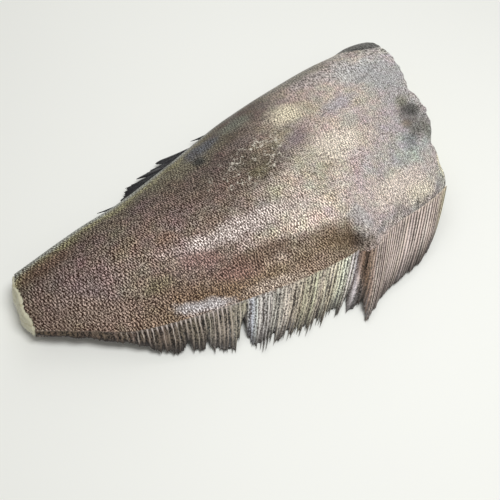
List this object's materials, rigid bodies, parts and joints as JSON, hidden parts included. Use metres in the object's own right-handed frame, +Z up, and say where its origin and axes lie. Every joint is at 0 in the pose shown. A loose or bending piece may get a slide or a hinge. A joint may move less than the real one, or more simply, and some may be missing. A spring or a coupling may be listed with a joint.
{
  "type": "headless greenland halibut",
  "caption": "Headless, tailless Greenland halibut with skin and fins on, lying flat on its blind side: a thick tapering trunk with a ragged rayed fin along each edge.",
  "frame": {"origin": "middle of the plan's bounding box, on the surface that the fish rests on", "axes": "+X from the tail cut to the head cut, +Y towards the dorsal fin, +Z up out of the eyed side"},
  "size_m": [0.3635, 0.221, 0.045],
  "materials": {
    "skin": "wet, finely scaled skin, dark brown at the tail and beige-grey at the nape",
    "fin": "wet rayed fin, pale streaks on dark brown webs",
    "flesh": "moist cut flesh, yellowish white"
  },
  "bodies": {
    "root": {"halibut_trunk": "skin"}
  },
  "joints": []
}
